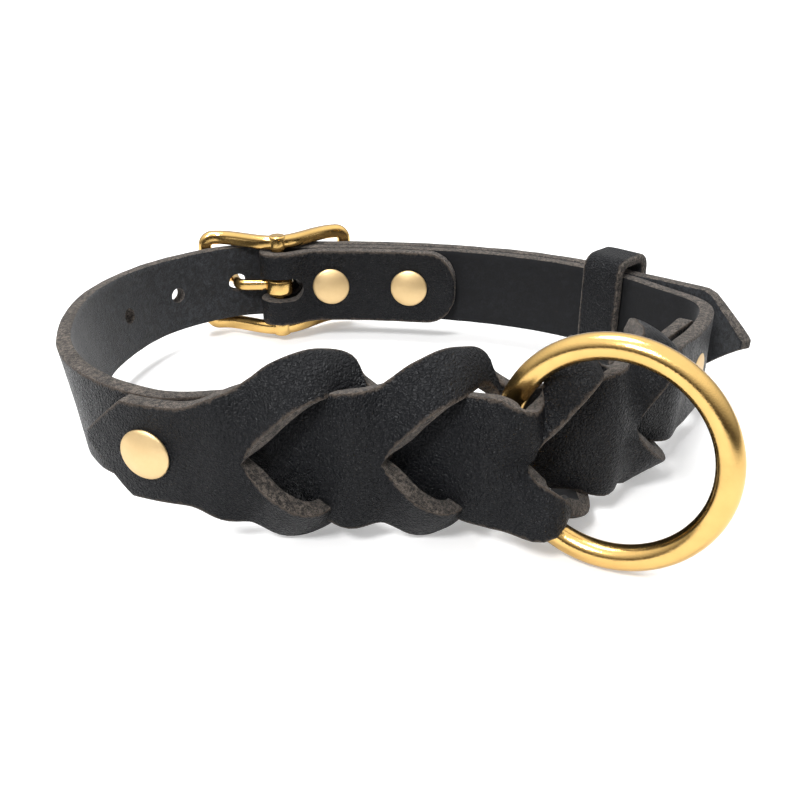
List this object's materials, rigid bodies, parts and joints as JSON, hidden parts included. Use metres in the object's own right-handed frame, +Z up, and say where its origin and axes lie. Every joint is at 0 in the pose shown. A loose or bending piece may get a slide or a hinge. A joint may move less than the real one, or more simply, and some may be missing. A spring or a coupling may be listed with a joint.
{
  "type": "buckle collar",
  "caption": "Black leather pet collar, buckled: slit-braided front with a brass ring caught in the braid, brass centre-bar buckle and leather keeper.",
  "frame": {"origin": "middle of the collar's bounding box, on the table it stands on", "axes": "+X to the right seen from the front, +Y from the braid towards the buckle, +Z up; the collar stands on its edge, leaning 1.9 degrees with the front higher"},
  "size_m": [0.1573, 0.1273, 0.0446],
  "materials": {
    "black_leather": "fine pebbled grain, raw brown-grey cut edges",
    "polished_brass": "polished",
    "satin_brass": "satin, domed"
  },
  "bodies": {
    "collar": {"billet_strap": "black_leather", "buckle_strap": "black_leather", "buckle_frame": "polished_brass", "buckle_bar": "polished_brass", "tab_rivet_cap": "satin_brass", "tab_rivet_stud": "satin_brass", "joint_rivet_cap": "satin_brass", "joint_rivet_stud": "satin_brass", "fold_rivet_a_cap": "satin_brass", "fold_rivet_a_stud": "satin_brass", "fold_rivet_b_cap": "satin_brass", "fold_rivet_b_stud": "satin_brass"},
    "keeper": {"keeper_loop": "black_leather"},
    "prong": {"buckle_prong": "polished_brass"},
    "ring": {"lead_ring": "polished_brass"}
  },
  "joints": [
    {"name": "ring_swing", "type": "hinge", "parent": "collar", "child": "ring", "pos_m": [0.01618, -0.04299, 0.0191], "axis": [0, 0.0332, 0.9995], "range_deg": [-9, 3]},
    {"name": "prong_lift", "type": "hinge", "parent": "collar", "child": "prong", "pos_m": [-0.03637, 0.04917, 0.01605], "axis": [0, -0.0332, -0.9995], "range_deg": [0, 2.5]},
    {"name": "keeper_slide", "type": "slide", "parent": "collar", "child": "keeper", "axis": [-0.7211, 0.6925, -0.023], "range_m": [-0.0025, 0.0035]}
  ]
}
